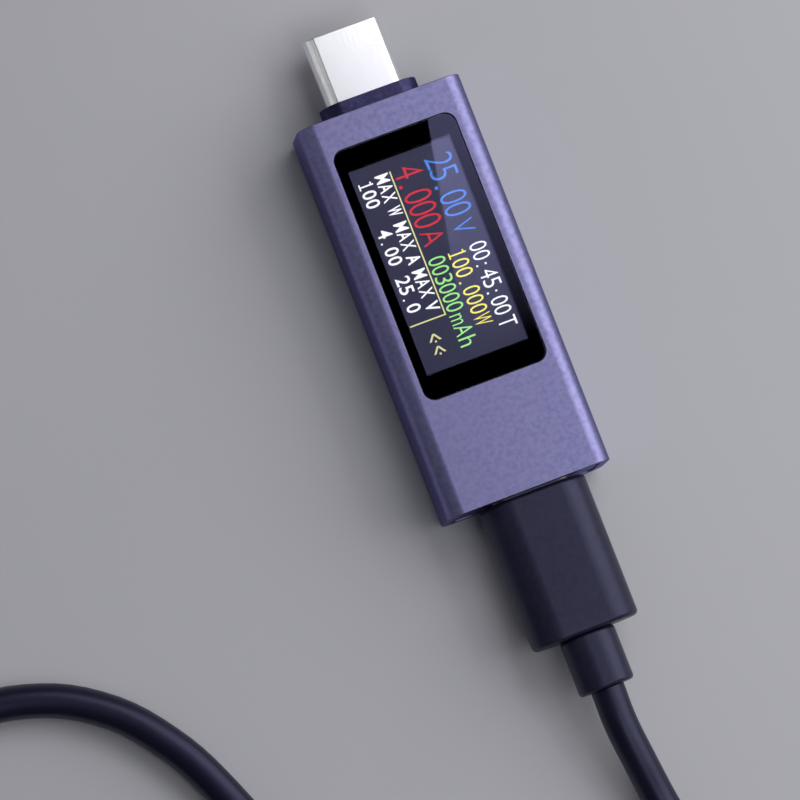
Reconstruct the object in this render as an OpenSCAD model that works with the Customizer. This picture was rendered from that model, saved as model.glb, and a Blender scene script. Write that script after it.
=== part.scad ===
// In-line USB-C power meter with a rubber-gripped USB-C lead plugged into its socket.
// Millimetres. The meter lies on its back with the display facing +Z and its plug pointing +Y.
// The origin is at the middle of the meter's underside, plug included and lead left out.

/* [Case] */
// Width of the extruded sleeve across X
case_w = 17.5; // [17.2:0.1:19]
// Thickness of the extruded sleeve along Z
case_d = 8.4; // [8.4:0.1:9.2]
// Length of the extruded sleeve along Y
case_len = 41.7; // [41:0.1:44]
// Radius of the sleeve's four long edges
case_r = 1.75; // [1.5:0.05:2]
// Thickness of the sleeve's side and back walls
wall = 1; // [0.8:0.1:1]
// Thickness of the sleeve's display wall
top_wall = 1.1; // [1:0.05:1.1]

/* [Display] */
// Width of the cover glass
glass_w = 13; // [12.8:0.1:13.5]
// Length of the cover glass
glass_len = 26.7; // [26:0.1:27]
// Corner radius of the cover glass
glass_r = 1.2; // [0.8:0.1:1.5]
// Thickness of the cover glass
glass_t = 0.65; // [0.5:0.05:0.65]
// Bare sleeve between the plug end and the glass
glass_setback = 3.4; // [3:0.1:3.5]
// Width of the lit area of the panel
lit_w = 10.7; // [10.4:0.1:11]
// Length of the lit area of the panel
lit_len = 21.8; // [21:0.1:22]

/* [Connectors] */
// Sideways place of the plug's centre
plug_x = -0.4; // [-0.5:0.1:0.5]
// Height of the plug's centre
plug_z = 3.8; // [3.6:0.1:3.8]
// Length of plug shell that stands out of the collar
plug_out = 7.15; // [6.9:0.05:7.3]
// Height of the collar round the plug
collar_h = 1.65; // [1.2:0.05:1.8]
// Sideways place of the socket's centre
socket_x = 0.5; // [-0.5:0.1:0.5]
// Height of the socket's centre
socket_z = 4.4; // [4.2:0.1:4.4]

/* [Lead] */
// Width of the plug's rubber grip
grip_w = 11.3; // [10.8:0.1:11.4]
// Thickness of the plug's rubber grip
grip_t = 6.4; // [6.2:0.1:6.6]
// Length of the plug's rubber grip
grip_len = 15.1; // [14:0.1:16]
// Length of the strain relief behind the grip
relief_len = 5.8; // [5:0.1:7]
// Diameter of the round cord
cord_d = 3.5; // [3.5:0.1:3.6]

/* [Hidden] */
$fn = 48;
eps = 0.01;

total_len = case_len + collar_h + plug_out;
y_back = -total_len / 2;
y_front = y_back + case_len;
y_collar = y_front + collar_h;
y_tip = y_collar + plug_out;

// Space inside the sleeve
inner_w = case_w - 2 * wall;
inner_low = wall;
inner_high = case_d - top_wall;
inner_r = case_r - wall;
cap_gap = 0.04;
cap_t = 1.5;
cap_recess = 0.15;
collar_x = plug_x + 0.2;
collar_w = 10.4;
collar_t = 4.3;

// Window, from the outer face down
glass_top = case_d - 0.02;
pocket_depth = 0.75;
pocket_z = case_d - pocket_depth;
glass_gap = 0.06;
ledge = 0.5;
glass_y = y_front - glass_setback - glass_len / 2;
ink_t = 0.03;
tape_t = glass_top - glass_t - ink_t - pocket_z;
lit_y = glass_y + 0.2;

// Display stack under the window
lcd_w = 12.8;
lcd_len = 25.2;
lcd_t = 0.7;
lcd_high = inner_high - 0.1;
lcd_low = lcd_high - lcd_t;
light_t = 0.5;
frame_w = 13.5;
frame_len = 27.6;
frame_low = lcd_low - light_t - 0.15;
frame_y = lit_y - 1.2;
frame_back = frame_y - frame_len / 2;
flex_w = 9;
flex_t = 0.12;

// Main board
board_w = 15;
board_t = 0.8;
board_low = plug_z - board_t / 2;
board_high = plug_z + board_t / 2;
board_back = y_back + cap_t + 0.15;
board_front = y_front - cap_t - 0.15;

// Standard USB-C shapes, about their own centres
shell_w = 8.25;
shell_h = 2.4;
shell_wall = 0.28;
mouth_w = 8.34;
mouth_h = 2.56;
outer_w = 8.94;
outer_h = 3.16;
socket_len = 8;
socket_depth = 6.75;
tongue_w = 6.69;
tongue_t = 0.7;
tongue_setback = 0.5;
slot_w = 6.86;
slot_h = 1;
slot_depth = 6.2;
contact_pitch = 0.5;
contact_w = 0.25;
contact_t = 0.12;
spring_len = 4.4;
groove_len = 4.6;
groove_depth = 0.1;
plug_contact_gap = 0.84;
latch_setback = 5.6;

// Side key and its switch
key_y = -7;
key_z = 5.2;
key_len = 4.8;
key_h = 1.8;
key_gap = 0.15;
key_flange = 0.45;
key_flange_rim = 0.35;
key_recess = 0.05;
switch_len = 3.6;
switch_depth = 2.4;
switch_h = 1.55;
switch_x = 4.9;
plunger_w = 1.4;
plunger_h = 0.8;
plunger_out = case_w / 2 - wall - 0.12 - key_flange;
plunger_in = switch_x + switch_depth / 2 - 0.7;

// Lead
gap_to_meter = 0.15;
grip_front = y_back - gap_to_meter;
grip_back = grip_front - grip_len;
relief_back = grip_back - relief_len;
relief_w = 5.8;
relief_t = 5;
shell_root = 3.6;
shell_out = 6.65;
shell_reach = grip_front + shell_out;
grip_floor = 2.2;
core_back = grip_back + grip_floor;
cord_r = cord_d / 2;
floor_z = cord_r;
cord_sides = 8;

// Coil at the lead's stored end
coil_x = -73;
coil_y = -60;
coil_mid_r = 20;
coil_wide = 3;
coil_layers = 2;
tie_t = 0.5;
tie_w = 7;
coil_in = coil_mid_r - coil_wide * cord_d / 2;
coil_out = coil_mid_r + coil_wide * cord_d / 2;
coil_low = tie_t;
coil_high = coil_low + coil_layers * cord_d;
join_z = coil_low + cord_r;
bundle_w = coil_out - coil_in + 1;

// Far plug, lying on top of the coil and pointing +X
far_x = coil_x + 13.9;
far_y = coil_y - 14.6;
far_z = coil_high + grip_t / 2;

// The lead's route from the strain relief to the coil
lead_route = [
    [socket_x, relief_back, socket_z], [0.5, -50, 4.2], [1, -54, 3.4], [1.6, -58, 2.4],
    [2.2, -62, 1.9], [2.2, -66.6, floor_z], [0.6, -72.4, floor_z], [-4.2, -77.4, floor_z],
    [-10.8, -79.5, floor_z], [-17.8, -78.4, floor_z], [-24.4, -74.4, floor_z],
    [-29.6, -67.8, floor_z], [-33, -60, floor_z], [-35.6, -51.6, floor_z], [-38.6, -42.6, floor_z],
    [-42.2, -35.6, floor_z], [-47.4, -30, floor_z], [-54, -26.8, floor_z], [-61, -26, floor_z],
    [-69, -26.4, floor_z], [-77, -28.8, floor_z], [-84.6, -33.4, floor_z],
    [-90.6, -40, floor_z], [-94.6, -47, floor_z], [-96.1, -53.6, 2], [-96.5, -60, join_z]
];

// The lead's last stretch, over the top of the coil and into the far plug
tail_route = [
    [-79, -37.3, 5.9], [-86.5, -40.8, 6.8], [-92.2, -46.6, 8.2], [-94.9, -53, 9.1],
    [-95.1, -59.4, 9.4], [-94, -65.2, 9.5], [-90.8, -70.2, 9.8], [-85.8, -73.6, 10.3],
    [-80, -74.6, far_z]
];

// ---- shared outlines and placing ----

// Rectangle with true round corners, centred
module rounded(w, h, r) {
    square([w - 2 * r, h], center = true);
    square([w, h - 2 * r], center = true);
    for (x = [-1, 1], y = [-1, 1])
        translate([x * (w / 2 - r), y * (h / 2 - r)]) circle(r = r);
}

// Stadium: a rectangle with full half-round ends, centred
module stadium(w, h) {
    square([w - h, h], center = true);
    for (x = [-1, 1]) translate([x * (w - h) / 2, 0]) circle(d = h);
}

// Extrudes an outline drawn in X and Z along Y, from y = from to y = to
module along_y(from, to) {
    translate([0, to, 0]) rotate([90, 0, 0]) linear_extrude(to - from) children();
}

// Puts a connector's own centre line at x, z
module on_axis(x, z) {
    translate([x, 0, z]) children();
}

// Block given by its centre in X and Y and its two heights
module block(x, y, w, len, low, high) {
    translate([x - w / 2, y - len / 2, low]) cube([w, len, high - low]);
}

// Puts a plug that was drawn pointing +Y, with its grip's front at y = 0, on the coil
module at_far_plug() {
    translate([far_x, far_y, far_z]) rotate([0, 0, -90]) children();
}

// ---- connector pieces, drawn about the connector's centre line ----

// Steel shell of a plug: an open-ended stadium tube
module plug_tube(back, tip) {
    along_y(back, tip) difference() {
        stadium(shell_w, shell_h);
        stadium(shell_w - 2 * shell_wall, shell_h - 2 * shell_wall);
    }
}

// Plastic core of a plug, with the slot that takes a socket's tongue
module plug_core(back, tip) {
    core_w = shell_w - 2 * shell_wall - 0.04;
    core_h = shell_h - 2 * shell_wall - 0.04;
    difference() {
        along_y(back, tip - 0.35) stadium(core_w, core_h);
        translate([-slot_w / 2, tip - slot_depth, -slot_h / 2])
            cube([slot_w, slot_depth + 1, slot_h]);
        for (side = [-1, 1], i = [-5.5:1:5.5])
            translate([i * contact_pitch - contact_w / 2 - 0.02, tip - slot_depth,
                side > 0 ? slot_h / 2 - eps : -slot_h / 2 - groove_depth])
                cube([contact_w + 0.04, groove_len, groove_depth + eps]);
    }
}

// Two rows of twelve sprung contacts, above and below the plug's slot
module plug_springs(back, tip) {
    for (side = [-1, 1], i = [-5.5:1:5.5])
        translate([i * contact_pitch - contact_w / 2, tip - slot_depth + 0.05,
            side > 0 ? plug_contact_gap / 2 : -plug_contact_gap / 2 - contact_t])
            cube([contact_w, spring_len, contact_t]);
}

// Side springs that hold a plug in its socket
module latch_springs(tip) {
    for (side = [-1, 1])
        translate([side * (slot_w / 2 + 0.16) - 0.1, tip - latch_setback, -0.35])
            cube([0.2, spring_len, 0.7]);
}

// Rubber grip, hollow round the plug's core, with its front at y = 0
module grip_body() {
    difference() {
        along_y(-grip_len, 0) stadium(grip_w, grip_t);
        along_y(-grip_len + grip_floor, eps) stadium(shell_w + 0.02, shell_h + 0.02);
    }
}

// Oval strain relief behind the grip, with the grip's front at y = 0
module relief_body() {
    along_y(-grip_len - relief_len, -grip_len) stadium(relief_w, relief_t);
}

// ---- tubes swept along a route ----

function unit(v) = v / norm(v);

function tangent(p, i) = unit(p[min(i + 1, len(p) - 1)] - p[max(i - 1, 0)]);

// Each ring is level across the route and square to it
function ring(p, i, r) =
    let (t = tangent(p, i), side = unit(cross([0, 0, 1], t)), up = cross(t, side))
    [for (k = [0:cord_sides - 1])
        let (a = 360 * (k + 0.5) / cord_sides, rr = r / cos(180 / cord_sides) * 0.98)
        p[i] + rr * cos(a) * side + rr * sin(a) * up];

// A point on a Catmull-Rom curve through the route
function curve_point(p, i, t) =
    let (a = p[max(i - 1, 0)], b = p[i], c = p[i + 1], d = p[min(i + 2, len(p) - 1)])
    0.5 * (2 * b + (c - a) * t + (2 * a - 5 * b + 4 * c - d) * t * t
        + (3 * b - a - 3 * c + d) * t * t * t);

function smooth(p, steps) = concat(
    [for (i = [0:len(p) - 2], s = [0:steps - 1]) curve_point(p, i, s / steps)],
    [p[len(p) - 1]]);

module swept_tube(p, r) {
    n = len(p);
    rings = [for (i = [0:n - 1]) each ring(p, i, r)];
    ends = [[for (k = [0:cord_sides - 1]) k],
        [for (k = [cord_sides - 1:-1:0]) (n - 1) * cord_sides + k]];
    sides = [for (i = [0:n - 2], k = [0:cord_sides - 1])
        let (a = i * cord_sides, k2 = (k + 1) % cord_sides)
        [a + k, a + cord_sides + k, a + cord_sides + k2, a + k2]];
    polyhedron(points = rings, faces = concat(ends, sides), convexity = 4);
}

// ---- the case ----

module sleeve() {
    color([0.44, 0.43, 0.60]) difference() {
        translate([0, 0, case_d / 2]) along_y(y_back, y_front)
            rounded(case_w, case_d, case_r);
        translate([0, 0, (inner_low + inner_high) / 2]) along_y(y_back - 1, y_front + 1)
            rounded(inner_w, inner_high - inner_low, inner_r);
        // window pocket for the glass, and the opening inside its ledge
        translate([0, glass_y, pocket_z]) linear_extrude(2)
            rounded(glass_w + 2 * glass_gap, glass_len + 2 * glass_gap, glass_r);
        translate([0, glass_y, inner_high - 1]) linear_extrude(2)
            rounded(glass_w - 2 * ledge, glass_len - 2 * ledge, glass_r - ledge / 2);
        // slot for the side key
        translate([inner_w / 2 - 0.5, key_y, key_z]) rotate([90, 0, 90]) linear_extrude(3)
            stadium(key_len + 2 * key_gap, key_h + 2 * key_gap);
    }
}

// Flush plate that closes one end of the sleeve, with its outer face at y
module cap_plate(from, to) {
    translate([0, 0, (inner_low + inner_high) / 2]) along_y(from, to)
        rounded(inner_w - 2 * cap_gap, inner_high - inner_low - 2 * cap_gap, inner_r);
}

module plug_end_cap() {
    color([0.43, 0.42, 0.58]) difference() {
        union() {
            cap_plate(y_front - cap_t, y_front);
            on_axis(collar_x, plug_z) along_y(y_front - eps, y_collar)
                stadium(collar_w, collar_t);
        }
        on_axis(plug_x, plug_z) along_y(y_front - 3, y_collar + 1)
            stadium(shell_w + 0.1, shell_h + 0.1);
    }
}

module socket_end_cap() {
    color([0.43, 0.42, 0.58]) difference() {
        cap_plate(y_back + cap_recess, y_back + cap_t);
        on_axis(socket_x, socket_z) along_y(y_back - 1, y_back + 3)
            stadium(outer_w + 0.08, outer_h + 0.08);
    }
}

// ---- window and display ----

module cover_glass() {
    color([0.06, 0.06, 0.08, 0.35]) translate([0, glass_y, glass_top - glass_t])
        linear_extrude(glass_t) rounded(glass_w, glass_len, glass_r);
}

module glass_border() {
    color([0.01, 0.01, 0.015]) translate([0, 0, glass_top - glass_t - ink_t])
        linear_extrude(ink_t) difference() {
            translate([0, glass_y]) rounded(glass_w, glass_len, glass_r);
            translate([0, lit_y]) square([lit_w + 0.3, lit_len + 0.3], center = true);
        }
}

module window_tape() {
    color([0.03, 0.03, 0.03]) translate([0, glass_y, pocket_z])
        linear_extrude(tape_t) difference() {
            rounded(glass_w - 0.1, glass_len - 0.1, glass_r);
            rounded(glass_w - 2 * ledge, glass_len - 2 * ledge, glass_r - ledge / 2);
        }
}

module lcd_panel() {
    color([0.16, 0.16, 0.22]) block(0, lit_y - 0.6, lcd_w, lcd_len, lcd_low, lcd_high);
}

module lcd_backlight() {
    color([0.9, 0.92, 0.95]) block(0, lit_y - 0.6, lcd_w - 0.2, lcd_len - 0.2,
        lcd_low - light_t, lcd_low);
}

module lcd_frame() {
    color([0.85, 0.85, 0.84]) difference() {
        block(0, frame_y, frame_w, frame_len, frame_low, lcd_high - 0.1);
        block(0, lit_y - 0.6, lcd_w + 0.06, lcd_len + 0.06, lcd_low - light_t, case_d);
    }
}

// Folded ribbon from the panel's socket end down to the board
module lcd_flex() {
    bend_high = frame_low - 0.02;
    bend_low = board_high;
    bend_r = (bend_high - bend_low) / 2;
    color([0.75, 0.45, 0.12]) {
        block(0, frame_back + 0.5, flex_w, 1, bend_high - flex_t, bend_high);
        block(0, frame_back + 1.2, flex_w, 2.4, bend_low, bend_low + flex_t);
        translate([-flex_w / 2, frame_back, bend_low + bend_r]) rotate([90, 0, 90])
            linear_extrude(flex_w) difference() {
                circle(r = bend_r);
                circle(r = bend_r - flex_t);
                translate([0, -2 * bend_r]) square([2 * bend_r, 4 * bend_r]);
            }
    }
}

// ---- board and the parts on it ----

module main_board() {
    color([0.05, 0.2, 0.12]) difference() {
        translate([-board_w / 2, board_back, board_low])
            cube([board_w, board_front - board_back, board_t]);
        // cut-outs for the sunk socket, the plug's root and the side key
        block(socket_x, y_back + 4.2, outer_w + 0.3, socket_len + 0.9, 0, case_d);
        block(plug_x, board_front - 1.6, shell_w + 0.3, 3.4, 0, case_d);
        block(board_w / 2, key_y, 2.4, key_len + 2, 0, case_d);
    }
}

// Shallow tray that follows the sleeve's inner corners and carries the board's edges
module insulating_tray() {
    low = inner_low + 0.05;
    back = board_back;
    front = board_front;
    color([0.08, 0.08, 0.09]) difference() {
        translate([0, 0, (inner_low + inner_high) / 2]) along_y(back, front)
            rounded(inner_w - 0.2, 2 * ((inner_low + inner_high) / 2 - low), inner_r);
        translate([-inner_w / 2, back - 1, board_low])
            cube([inner_w, front - back + 2, case_d]);
        translate([1 - inner_w / 2, back - 1, low + 0.3])
            cube([inner_w - 2, front - back + 2, case_d]);
    }
}

module shunt_resistor() {
    color([0.12, 0.12, 0.13]) block(-3.4, -8.9, 3.2, 6.3, board_high, board_high + 0.6);
}

module microcontroller() {
    color([0.05, 0.05, 0.055]) block(-2, 1, 5, 5, board_high, board_high + 0.85);
    color([0.8, 0.8, 0.8]) for (side = [-1, 1], i = [-4.5:1:4.5])
        block(-2 + side * 2.7, 1 + i * 0.45, 0.4, 0.2, board_high, board_high + 0.2);
}

module sense_amplifier() {
    color([0.05, 0.05, 0.055]) block(1.4, -10.2, 3, 3, board_high, board_high + 0.85);
    color([0.8, 0.8, 0.8]) for (side = [-1, 1], i = [-1.5:1:1.5])
        block(1.4 + side * 1.85, -10.2 + i * 0.65, 0.7, 0.3, board_high, board_high + 0.15);
}

module voltage_regulator() {
    color([0.05, 0.05, 0.055]) block(4.4, 7.4, 1.6, 2.9, board_high, board_high + 1);
    color([0.8, 0.8, 0.8]) for (side = [-1, 1], i = [-1, 1])
        block(4.4 + side * 1.1, 7.4 + i * 0.95, 0.6, 0.4, board_high, board_high + 0.15);
}

module memory_chip() {
    color([0.05, 0.05, 0.055]) block(3.2, 1.4, 2, 3, board_high, board_high + 0.6);
    color([0.8, 0.8, 0.8]) for (side = [-1, 1], i = [-1.5:1:1.5])
        block(3.2 + side * 1.15, 1.4 + i * 0.65, 0.3, 0.25, board_high, board_high + 0.15);
}

module ceramic_capacitors() {
    color([0.62, 0.48, 0.33]) {
        for (i = [0:4]) block(-6.2, -6 + i * 2.6, 0.8, 1.6, board_high, board_high + 0.8);
        for (i = [0:2]) block(-0.4 + i * 1.5, -5.4, 0.8, 1.6, board_high, board_high + 0.8);
    }
}

module chip_resistors() {
    color([0.08, 0.08, 0.08]) {
        for (i = [0:4]) block(-4.4 + i * 1.5, 7.6, 0.5, 1, board_high, board_high + 0.35);
        for (i = [0:3]) block(-4.4 + i * 1.5, -3, 0.5, 1, board_high, board_high + 0.35);
    }
}

// ---- side key and its switch ----

module switch_body() {
    color([0.1, 0.1, 0.1]) difference() {
        block(switch_x, key_y, switch_depth, switch_len, board_high, board_high + switch_h);
        // chamber for the plunger and the dome, open towards the key
        block(switch_x + switch_depth / 2, key_y, 2 * (switch_depth - 0.5), plunger_w + 0.3,
            key_z - plunger_h / 2 - 0.15, key_z + plunger_h / 2 + 0.15);
    }
}

module switch_dome() {
    color([0.75, 0.75, 0.76]) block(switch_x - switch_depth / 2 + 0.58, key_y,
        0.12, plunger_w - 0.1, key_z - 0.4, key_z + 0.4);
}

module button_cap() {
    face_x = case_w / 2 - key_recess;
    flange_x = case_w / 2 - wall - 0.12;
    color([0.42, 0.41, 0.57]) translate([0, key_y, key_z]) rotate([90, 0, 90]) {
        translate([0, 0, flange_x]) linear_extrude(face_x - flange_x)
            stadium(key_len, key_h);
        translate([0, 0, flange_x - key_flange]) linear_extrude(key_flange)
            stadium(key_len + 2 * key_flange_rim + 0.3, key_h + 2 * key_flange_rim + 0.3);
    }
}

module switch_plunger() {
    color([0.85, 0.83, 0.75]) block((plunger_in + plunger_out) / 2, key_y,
        plunger_out - plunger_in, plunger_w,
        key_z - plunger_h / 2, key_z + plunger_h / 2);
}

// ---- the meter's own plug ----

module plug_shell() {
    color([0.86, 0.86, 0.88]) on_axis(plug_x, plug_z) plug_tube(y_front - 3.4, y_tip);
}

module plug_insulator() {
    color([0.06, 0.06, 0.07]) on_axis(plug_x, plug_z) plug_core(y_front - 3.2, y_tip);
}

module plug_contacts() {
    color([0.85, 0.68, 0.32]) on_axis(plug_x, plug_z) plug_springs(y_front, y_tip);
}

module plug_latch_springs() {
    color([0.8, 0.8, 0.8]) on_axis(plug_x, plug_z) latch_springs(y_tip);
}

// ---- the meter's socket ----

module socket_shell() {
    color([0.8, 0.8, 0.82]) on_axis(socket_x, socket_z)
        along_y(y_back + cap_recess, y_back + socket_len) difference() {
            stadium(outer_w, outer_h);
            stadium(mouth_w, mouth_h);
        }
}

module socket_housing() {
    color([0.05, 0.05, 0.055]) on_axis(socket_x, socket_z) difference() {
        union() {
            along_y(y_back + socket_depth, y_back + socket_len)
                stadium(mouth_w - 0.04, mouth_h - 0.04);
            translate([-tongue_w / 2, y_back + tongue_setback, -tongue_t / 2])
                cube([tongue_w, socket_depth, tongue_t]);
        }
        // room for the steel mid plate inside the tongue
        translate([-tongue_w / 2 + 0.3, y_back + tongue_setback + 0.4, -0.08])
            cube([tongue_w - 0.6, socket_depth - 0.3, 0.16]);
    }
}

module socket_contacts() {
    color([0.85, 0.68, 0.32]) on_axis(socket_x, socket_z)
        for (side = [-1, 1], i = [-5.5:1:5.5])
            translate([i * contact_pitch - contact_w / 2, y_back + tongue_setback + 0.7,
                side > 0 ? tongue_t / 2 : -tongue_t / 2 - 0.02])
                cube([contact_w, 3.6, 0.02]);
}

module socket_mid_plate() {
    color([0.7, 0.7, 0.72]) on_axis(socket_x, socket_z)
        translate([-tongue_w / 2 + 0.32, y_back + tongue_setback + 0.42, -0.07])
            cube([tongue_w - 0.64, socket_depth - 0.4, 0.14]);
}

// ---- the lead's plug in the socket ----

module lead_plug_shell() {
    color([0.84, 0.84, 0.86]) on_axis(socket_x, socket_z)
        plug_tube(grip_front - shell_root, shell_reach);
}

module lead_plug_insulator() {
    color([0.06, 0.06, 0.07]) on_axis(socket_x, socket_z)
        plug_core(grip_front - shell_root + 0.2, shell_reach);
}

module lead_plug_contacts() {
    color([0.85, 0.68, 0.32]) on_axis(socket_x, socket_z)
        plug_springs(grip_front, shell_reach);
}

module lead_plug_latch_springs() {
    color([0.8, 0.8, 0.8]) on_axis(socket_x, socket_z) latch_springs(shell_reach);
}

module lead_plug_board() {
    color([0.05, 0.2, 0.12]) on_axis(socket_x, socket_z)
        block(0, (core_back + grip_front - shell_root) / 2 - 0.1, 7.4,
            grip_front - shell_root - core_back - 0.4, -0.4, 0.4);
}

module marker_chip() {
    color([0.05, 0.05, 0.055]) on_axis(socket_x, socket_z)
        block(0, core_back + 2.6, 2, 2, 0.4, 1);
}

module lead_grip() {
    color([0.15, 0.145, 0.2]) translate([socket_x, grip_front, socket_z]) grip_body();
}

module lead_strain_relief() {
    color([0.15, 0.145, 0.2]) translate([socket_x, grip_front, socket_z]) relief_body();
}

// ---- the lead itself ----

module lead_cord() {
    color([0.14, 0.135, 0.19]) swept_tube(smooth(lead_route, 2), cord_r);
}

module lead_coil() {
    color([0.14, 0.135, 0.19]) translate([coil_x, coil_y, coil_low]) rotate_extrude()
        translate([coil_in, 0]) square([coil_out - coil_in, coil_high - coil_low]);
}

module lead_tail() {
    color([0.14, 0.135, 0.19]) swept_tube(smooth(tail_route, 2), cord_r);
}

// Strap round the bundle of turns, on the side of the coil that faces the meter
module coil_tie() {
    color([0.03, 0.03, 0.035])
        translate([coil_x + coil_mid_r, coil_y, (coil_low + coil_high) / 2])
            along_y(-tie_w / 2, tie_w / 2) difference() {
                square([bundle_w + 2 * tie_t, coil_high - coil_low + 2 * tie_t],
                    center = true);
                square([bundle_w, coil_high - coil_low], center = true);
            }
}

// ---- the lead's far plug ----

module far_plug_shell() {
    color([0.84, 0.84, 0.86]) at_far_plug() plug_tube(-shell_root, shell_out);
}

module far_plug_insulator() {
    color([0.06, 0.06, 0.07]) at_far_plug() plug_core(0.2 - shell_root, shell_out);
}

module far_plug_contacts() {
    color([0.85, 0.68, 0.32]) at_far_plug() plug_springs(0, shell_out);
}

module far_grip() {
    color([0.15, 0.145, 0.2]) at_far_plug() grip_body();
}

module far_strain_relief() {
    color([0.15, 0.145, 0.2]) at_far_plug() relief_body();
}

// ---- parts, each in its own place ----

sleeve();
plug_end_cap();
socket_end_cap();
cover_glass();
glass_border();
window_tape();
lcd_panel();
lcd_backlight();
lcd_frame();
lcd_flex();
main_board();
insulating_tray();
shunt_resistor();
microcontroller();
sense_amplifier();
voltage_regulator();
memory_chip();
ceramic_capacitors();
chip_resistors();
switch_body();
switch_dome();
plug_shell();
plug_insulator();
plug_contacts();
plug_latch_springs();
socket_shell();
socket_housing();
socket_contacts();
socket_mid_plate();
button_cap();
switch_plunger();
lead_plug_shell();
lead_plug_insulator();
lead_plug_contacts();
lead_plug_latch_springs();
lead_plug_board();
marker_chip();
lead_grip();
lead_strain_relief();
lead_cord();
lead_coil();
lead_tail();
coil_tie();
far_plug_shell();
far_plug_insulator();
far_plug_contacts();
far_grip();
far_strain_relief();
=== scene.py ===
# %% [markdown]
# # USB power meter on its lead
# A small meter sits in line on a USB-C socket. It has an aluminium sleeve, a lit display under
# glass, a plug at one end, and at the other end a socket that holds a lead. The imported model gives
# every piece its true size and place. Drawing the pieces again here would let two sets of sizes
# drift apart, so this file keeps the frame as it is and adds what a picture needs: soft edges,
# the display's signs, finishes, light and a camera.

# %% Load the frame
import bpy
import bmesh
import math
from mathutils import Matrix, Vector


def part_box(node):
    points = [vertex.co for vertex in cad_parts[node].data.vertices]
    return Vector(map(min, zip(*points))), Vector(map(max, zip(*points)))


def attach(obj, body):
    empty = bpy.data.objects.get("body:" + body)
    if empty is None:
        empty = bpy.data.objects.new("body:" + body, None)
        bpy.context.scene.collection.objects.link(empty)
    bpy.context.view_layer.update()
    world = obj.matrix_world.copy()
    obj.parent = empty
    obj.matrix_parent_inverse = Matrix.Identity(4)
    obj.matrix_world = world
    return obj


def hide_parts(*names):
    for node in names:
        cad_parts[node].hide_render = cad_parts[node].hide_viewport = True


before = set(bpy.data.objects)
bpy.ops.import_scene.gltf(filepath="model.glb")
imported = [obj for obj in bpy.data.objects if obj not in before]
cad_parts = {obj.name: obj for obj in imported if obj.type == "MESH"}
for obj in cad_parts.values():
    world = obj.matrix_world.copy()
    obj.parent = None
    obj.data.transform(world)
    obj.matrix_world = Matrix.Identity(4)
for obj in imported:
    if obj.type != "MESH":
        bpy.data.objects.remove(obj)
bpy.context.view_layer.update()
MM = 0.001

# %% [markdown]
# ## The camera
# The meter is seen from almost straight above with a long lens, so its sides stay parallel. A
# camera can be placed by its position and three rotations, but those numbers say little to a
# reader. An aim point, two lean angles, a roll and a distance are easier to picture. The slides
# then move the picture sideways and up without changing the perspective.

# %% Directions of the camera
LEAN_LEFT = math.radians(8.1)
LEAN_BACK = math.radians(5.4)
ROLL = math.radians(21.28)


def view_axes(lean_left, lean_back, roll):
    """Right, up and forward directions of a camera above the meter."""
    forward = Vector((math.sin(lean_left) * math.cos(lean_back), math.sin(lean_back),
                      -math.cos(lean_left) * math.cos(lean_back)))
    along = Vector((0, 1, 0))
    flat_up = (along - forward * forward.dot(along)).normalized()
    flat_right = forward.cross(flat_up)
    up = flat_up * math.cos(roll) + flat_right * math.sin(roll)
    return forward.cross(up), up, forward


right, up, forward = view_axes(LEAN_LEFT, LEAN_BACK, ROLL)
print("camera looks along", [round(v, 3) for v in forward])

# %% [markdown]
# Lens, sensor and distance set how large the meter looks. A long lens from half a metre away
# gives a calm, nearly flat perspective. The clip start is lowered, because the object is so near.

# %% Place the camera
LENS = 225.0
SENSOR = 36.0
DISTANCE = 0.502
CLIP_START = 0.01
SLIDE_RIGHT = -5.03
SLIDE_UP = -10.0
sleeve_low, sleeve_high = (Vector(corner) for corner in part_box("sleeve"))
aim = (sleeve_low + sleeve_high) / 2
spot = aim - forward * DISTANCE + (right * SLIDE_RIGHT + up * SLIDE_UP) * MM
camera_data = bpy.data.cameras.new("camera")
camera_data.lens = LENS
camera_data.sensor_width = SENSOR
camera_data.clip_start = CLIP_START
camera = bpy.data.objects.new("camera", camera_data)
bpy.context.scene.collection.objects.link(camera)
turn = Matrix((right, up, -forward)).transposed().to_4x4()
camera.matrix_world = Matrix.Translation(spot) @ turn
bpy.context.scene.camera = camera
print("camera at mm", [round(v / MM, 1) for v in spot])

# %% [markdown]
# ## The lead's path
# A lead is one flexible cord of fixed length. It leaves the strain relief straight, sinks to the
# table, swings round, and most of it lies wound in a coil. Cloth or rope simulation could lay it
# down, but a resting cord only needs a smooth curve. Its free stretches follow listed points, in
# millimetres, which are the same as those of the frame's own tube.

# %% Free stretches of the lead
CORD_R = 1.745
relief_low, relief_high = (Vector(corner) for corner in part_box("lead_strain_relief"))
exit_point = (relief_low + relief_high) / 2
exit_point.y = relief_low.y
LEAD_ROUTE = [
    (0.5, -50, 4.2), (1, -54, 3.4), (1.6, -58, 2.4), (2.2, -62, 1.9), (2.2, -66.6, 1.75),
    (0.6, -72.4, 1.75), (-4.2, -77.4, 1.75), (-10.8, -79.5, 1.75), (-17.8, -78.4, 1.75),
    (-24.4, -74.4, 1.75), (-29.6, -67.8, 1.75), (-33, -60, 1.75), (-35.6, -51.6, 1.75),
    (-38.6, -42.6, 1.75), (-42.2, -35.6, 1.75), (-47.4, -30, 1.75), (-54, -26.8, 1.75),
    (-61, -26, 1.75), (-69, -26.4, 1.75), (-77, -28.8, 1.75), (-84.6, -33.4, 1.75),
    (-90.6, -40, 1.75), (-94.6, -47, 1.75), (-96.1, -53.6, 2),
]
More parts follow.
